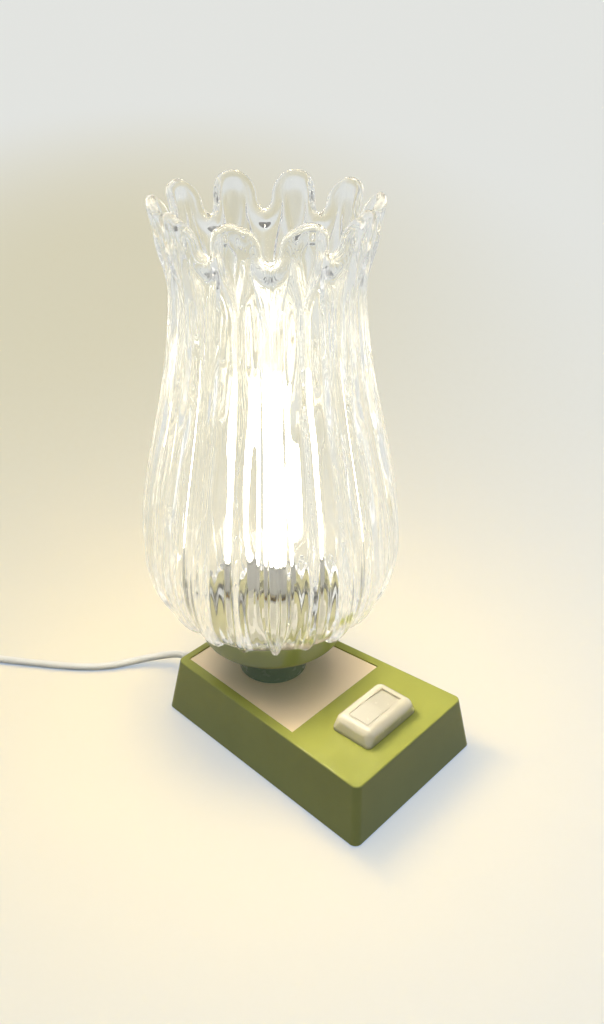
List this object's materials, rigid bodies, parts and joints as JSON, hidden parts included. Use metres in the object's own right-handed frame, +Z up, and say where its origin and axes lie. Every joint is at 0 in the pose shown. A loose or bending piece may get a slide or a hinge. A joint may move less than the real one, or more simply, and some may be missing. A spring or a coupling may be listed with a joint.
{
  "type": "table lamp",
  "caption": "Table lamp with a pressed-glass tulip shade of scalloped petals in a green dish, on a tapered green base with a bronze inset plate, a rocker switch and a mains cord.",
  "frame": {"origin": "on the table under the middle of the base", "axes": "+Z up, +Y from the switch towards the lamp end, +X to the right seen from the switch end"},
  "size_m": [0.3135, 0.3506, 0.336],
  "materials": {
    "green_plastic": "satin",
    "dark_green_plastic": "satin",
    "bronze_plate": "brushed",
    "cream_plastic": "satin",
    "black_plastic": "matte",
    "white_plastic": "satin",
    "steel": "brushed",
    "brass": "bright",
    "rubber": "matte",
    "clear_glass": "clear",
    "frosted_glass": "frosted",
    "felt": "matte"
  },
  "bodies": {
    "lamp_base": {"base_shell": "green_plastic", "bottom_plate": "steel", "bottom_screws": "steel", "base_felt": "felt", "inset_plate": "bronze_plate", "neck_sleeve": "dark_green_plastic", "shade_dish": "green_plastic", "seat_ring": "rubber", "threaded_tube": "steel", "tube_washer": "steel", "tube_nut": "steel", "holder_base": "white_plastic", "holder_shell": "white_plastic", "holder_insert": "white_plastic", "screw_sleeve": "brass", "centre_contact": "brass", "ring_nut": "white_plastic", "switch_frame": "cream_plastic", "switch_body": "black_plastic", "rocker_pin": "steel", "lever_bracket": "brass", "fixed_contact": "brass", "cord_grommet": "white_plastic", "cord_inner": "white_plastic", "cord_clamp": "white_plastic", "clamp_screws": "steel", "inner_leads": "white_plastic", "cord": "white_plastic", "cord_coil": "white_plastic", "coil_tie": "white_plastic", "plug_body": "white_plastic", "plug_pins": "steel"},
    "rocker": {"switch_rocker": "cream_plastic", "rocker_plunger": "brass", "plunger_spring": "steel"},
    "lever": {"contact_lever": "brass"},
    "shade": {"glass_shade": "clear_glass"},
    "bulb": {"bulb_tube": "frosted_glass", "bulb_housing": "white_plastic", "bulb_cap": "steel", "cap_insulator": "black_plastic", "cap_contact": "steel"}
  },
  "joints": [
    {"name": "rocker_tilt", "type": "hinge", "parent": "lamp_base", "child": "rocker", "pos_m": [0, -0.0509, 0.0425], "axis": [0, 1, 0], "range_deg": [-6, 0]},
    {"name": "lever_tilt", "type": "hinge", "parent": "lamp_base", "child": "lever", "pos_m": [0, -0.0509, 0.02905], "axis": [0, 1, 0], "range_deg": [0, 6]},
    {"name": "shade_lift", "type": "slide", "parent": "lamp_base", "child": "shade", "axis": [0, 0, 1], "range_m": [0, 0.17]},
    {"name": "bulb_unscrew", "type": "slide", "parent": "lamp_base", "child": "bulb", "axis": [0, 0, 1], "range_m": [0, 0.03]}
  ],
  "couplings": [
    {"joint": "lever_tilt", "follows": "rocker_tilt", "ratio": -1}
  ]
}
